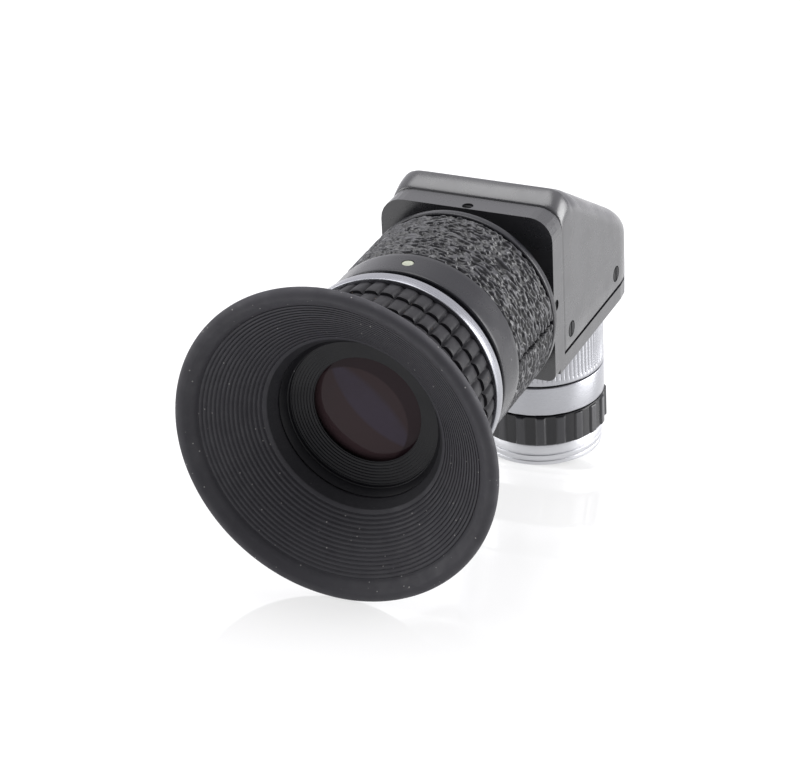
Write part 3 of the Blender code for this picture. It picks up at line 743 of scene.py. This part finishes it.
sleeve_low, sleeve_high, sleeve_radius = tube_span("mount_sleeve")
grip_low, grip_high, flute_radius = tube_span("coupling_grip")
sleeve_bore = 8.6
lower_spigot = 9.4             # the sleeve's lower part, which the coupling turns on
shoulder = collar_low - 0.3
section = ([(sleeve_bore, sleeve_high), (spigot, sleeve_high), (spigot, shoulder)]
           + arc((sleeve_radius - 0.2, shoulder - 0.2), 0.2, 90, 0, 3)
           + arc((sleeve_radius - 0.15, grip_high + 0.45), 0.15, 0, -90, 3)
           + [(spigot, grip_high + 0.3), (lower_spigot, grip_high - 1.6),
              (lower_spigot, sleeve_low), (sleeve_bore, sleeve_low)])
add(revolve("chrome_sleeve", section, False, 192), tube_chrome, "mount", "satin_chrome",
    "mount_sleeve")

flutes = 20
flute_bore = 10.87
rim = flute_radius - 0.36      # radius of the rims and of the hollows' floor
bar_end = 0.34                 # share of the pitch where a bar ends
hollow_start = 0.44
hollow_end = 0.9


def flute_shape(radius, turn, along, index):
    """Narrow raised bars with wide shallow hollows between them."""
    if not 4 <= index <= 7:
        return radius
    u = turn / TAU * flutes % 1.0
    rise = 1.0 if u < bar_end else 0.0
    if bar_end <= u < hollow_start:
        rise = 1 - (u - bar_end) / 0.1
    if u >= hollow_end:
        rise = (u - hollow_end) / 0.1
    return radius - (radius - rim - 0.02) * (1 - rise)


section = [(flute_bore, grip_low), (rim - 0.1, grip_low), (rim, grip_low + 0.1),
           (rim, grip_low + 0.16), (flute_radius - 0.1, grip_low + 0.2),
           (flute_radius, grip_low + 0.35), (flute_radius, grip_high - 0.35),
           (flute_radius - 0.1, grip_high - 0.2), (rim, grip_high - 0.16),
           (rim, grip_high - 0.1), (rim - 0.1, grip_high), (flute_bore, grip_high)]
add(revolve("fluted_grip", section, False, flutes * 20, flute_shape, 28.0), flute_black,
    "coupling", "black_anodised", "coupling_grip")

_, end_high, end_radius = tube_span("coupling_ring")
end_bore = 9.55
end_step = 2.3                 # the bore widens below this
thread_root = 10.05
thread_crest = 9.9
thread_pitch = 0.36
section = ([(end_bore, end_step), (end_bore, end_high - 1.8), (end_radius - 0.9, end_high - 0.5),
            (end_radius - 0.3, end_high), (end_radius - 0.3, grip_low - 0.1),
            (end_radius - 0.1, grip_low - 0.25), (end_radius, grip_low - 0.45),
            (end_radius, 2.35), (end_radius - 0.1, 2.25), (end_radius - 0.2, 2.2),
            (end_radius - 0.2, 2.05), (end_radius - 0.1, 2.0), (end_radius - 0.02, 1.9),
            (end_radius - 0.02, 1.15), (end_radius - 0.08, 1.05), (end_radius - 0.16, 1.0),
            (end_radius - 0.16, 0.88), (end_radius - 0.1, 0.83), (end_radius - 0.04, 0.75)]
           + arc((end_radius - 0.34, 0.3), 0.3, 0, -90, 4)
           + [(thread_root + 0.1, 0.0), (thread_root, 0.1)])
for number in range(5):
    base = 0.3 + thread_pitch * number
    section += [(thread_root, base), (thread_crest, base + 0.12), (thread_crest, base + 0.2),
                (thread_root, base + 0.32)]
section += [(thread_root, end_step)]
add(revolve("chrome_coupling_end", section, False, 192), end_chrome, "coupling",
    "satin_chrome", "coupling_ring")

# ---- Stage, light and camera --------------------------------------------------------------------
# The floor is tilted, because the finder stands on the tube's front edge and the cup's rim
touch_y = -end_radius
rim_y = -(cup_front - 0.9)
rim_z = axis_height - cup_radius
tilt = math.atan2(rim_z, touch_y - rim_y)
reach = 6.0                    # metres from the middle to each side
floor_mesh = bpy.data.meshes.new("floor")
floor_mesh.from_pydata(
    [(-reach, -reach, 0), (reach, -reach, 0), (reach, reach, 0), (-reach, reach, 0)],
    [], [(0, 1, 2, 3)])
floor = bpy.data.objects.new("floor", floor_mesh)
bpy.context.scene.collection.objects.link(floor)
floor.matrix_world = (Matrix.Translation((0.0, touch_y * MM, 0.0))
                      @ Matrix.Rotation(-tilt, 4, "X"))
floor_paint = Paint("floor_white", (0.3, 0.3, 0.3), 0.05, IOR=1.45,
                    Emission_Color=(1.0, 1.0, 1.0, 1.0), Emission_Strength=0.68)
floor_paint.rough(floor_paint.noise(3.0), 0.04, 0.06)
dress(floor, floor_paint.material)

# The sky is dim in front of the eyepiece and bright behind the housing
world = bpy.data.worlds.new("studio")
world.use_nodes = True
sky = world.node_tree
direction = sky.nodes.new("ShaderNodeTexCoord").outputs["Generated"]
split = sky.nodes.new("ShaderNodeSeparateXYZ")
sky.links.new(direction, split.inputs[0])
glow = sky.nodes.new("ShaderNodeMapRange")
glow.interpolation_type = "SMOOTHSTEP"
for key, number in (("From Min", -0.45), ("From Max", 0.3), ("To Min", 0.3), ("To Max", 1.05)):
    glow.inputs[key].default_value = number
sky.links.new(split.outputs["Y"], glow.inputs["Value"])
sky.nodes["Background"].inputs["Color"].default_value = (0.965, 0.955, 1.0, 1.0)
sky.links.new(glow.outputs["Result"], sky.nodes["Background"].inputs["Strength"])
bpy.context.scene.world = world

target = Vector((0.0, -0.045, 0.035))


def softbox(name, place, power, size):
    """A rectangular light at place, turned to the target."""
    light = bpy.data.lights.new(name, "AREA")
    light.energy = power
    light.shape = "RECTANGLE"
    light.size, light.size_y = size
    obj = bpy.data.objects.new(name, light)
    bpy.context.scene.collection.objects.link(obj)
    obj.location = place
    obj.rotation_mode = "QUATERNION"
    obj.rotation_quaternion = (target - Vector(place)).to_track_quat("-Z", "Y")


softbox("top_box", (-0.15, 0.1, 0.8), 4.0, (0.7, 0.7))
softbox("right_box", (0.75, 0.35, 0.25), 6.8, (0.6, 0.6))
softbox("left_box", (-0.7, -0.35, 0.35), 2.5, (0.5, 0.5))

azimuth = math.radians(24.5)
elevation = math.radians(28.2)
roll = math.radians(-2.8)
distance = 0.63
shift_right = 0.02548
shift_up = 0.00859
back = Vector((math.sin(azimuth) * math.cos(elevation), -math.cos(azimuth) * math.cos(elevation),
               math.sin(elevation)))
flat_right = Vector((math.cos(azimuth), math.sin(azimuth), 0.0))
flat_up = back.cross(flat_right)
right = flat_right * math.cos(roll) + flat_up * math.sin(roll)
up = flat_up * math.cos(roll) - flat_right * math.sin(roll)
where = back * distance - right * shift_right + up * shift_up
camera_data = bpy.data.cameras.new("camera")
camera_data.lens = 157.6
camera_data.clip_start = 0.01
camera_data.clip_end = 50.0
camera = bpy.data.objects.new("camera", camera_data)
bpy.context.scene.collection.objects.link(camera)
camera.matrix_world = Matrix((
    (right.x, up.x, back.x, where.x), (right.y, up.y, back.y, where.y),
    (right.z, up.z, back.z, where.z), (0.0, 0.0, 0.0, 1.0)))
bpy.context.scene.camera = camera
bpy.context.scene.view_settings.view_transform = "Standard"
